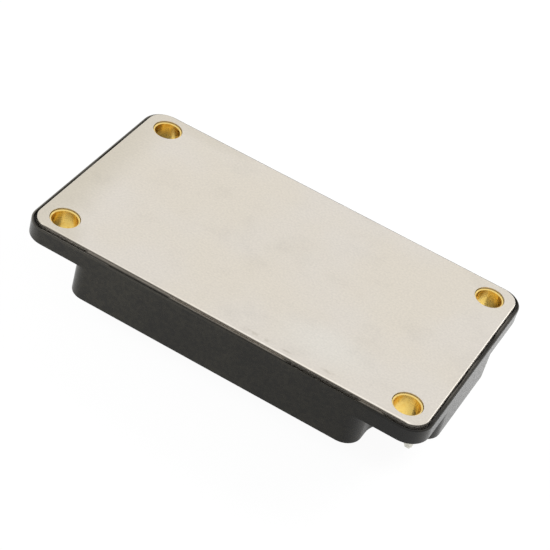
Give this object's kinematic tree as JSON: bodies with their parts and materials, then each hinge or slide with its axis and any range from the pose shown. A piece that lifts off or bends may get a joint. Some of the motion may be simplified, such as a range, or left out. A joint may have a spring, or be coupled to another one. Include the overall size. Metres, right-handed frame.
{
  "type": "power mosfet module",
  "caption": "Flat rectangular power transistor module: nickel-plated base plate in a black moulded frame, brass screw bushes in notched corners, solder pins on the far side.",
  "frame": {"origin": "middle of the module, on the surface under its pin tips", "axes": "+X along the module towards the power pins, +Z out of the base plate"},
  "size_m": [0.108, 0.062, 0.0203],
  "materials": {
    "nickel": "satin nickel plating",
    "housing": "satin moulded",
    "brass": "turned",
    "sealant": "cured bead",
    "tin": "tin plating",
    "copper": "bare copper",
    "ceramic": "fired alumina",
    "silicon": "metallised chip",
    "aluminium": "drawn wire",
    "thermistor": "sintered",
    "gel": "clear soft gel"
  },
  "bodies": {
    "root": {"base_plate": "nickel", "housing_frame": "housing", "lid": "housing", "sealant_bead": "sealant", "silicone_gel": "gel", "plus_terminal": "tin", "minus_terminal": "tin", "thermistor": "thermistor", "thermistor_pins": "tin", "mount_bush_1": "brass", "mount_bush_2": "brass", "mount_bush_3": "brass", "mount_bush_4": "brass", "bottom_copper_1": "copper", "ceramic_1": "ceramic", "track_copper_1": "copper", "high_side_chips_1": "silicon", "low_side_chips_1": "silicon", "bond_wires_1": "aluminium", "phase_pins_1": "tin", "gate_pins_1": "tin", "source_pins_1": "tin", "bottom_copper_2": "copper", "ceramic_2": "ceramic", "track_copper_2": "copper", "high_side_chips_2": "silicon", "low_side_chips_2": "silicon", "bond_wires_2": "aluminium", "phase_pins_2": "tin", "gate_pins_2": "tin", "source_pins_2": "tin", "bottom_copper_3": "copper", "ceramic_3": "ceramic", "track_copper_3": "copper", "high_side_chips_3": "silicon", "low_side_chips_3": "silicon", "bond_wires_3": "aluminium", "phase_pins_3": "tin", "gate_pins_3": "tin", "source_pins_3": "tin"}
  },
  "joints": []
}
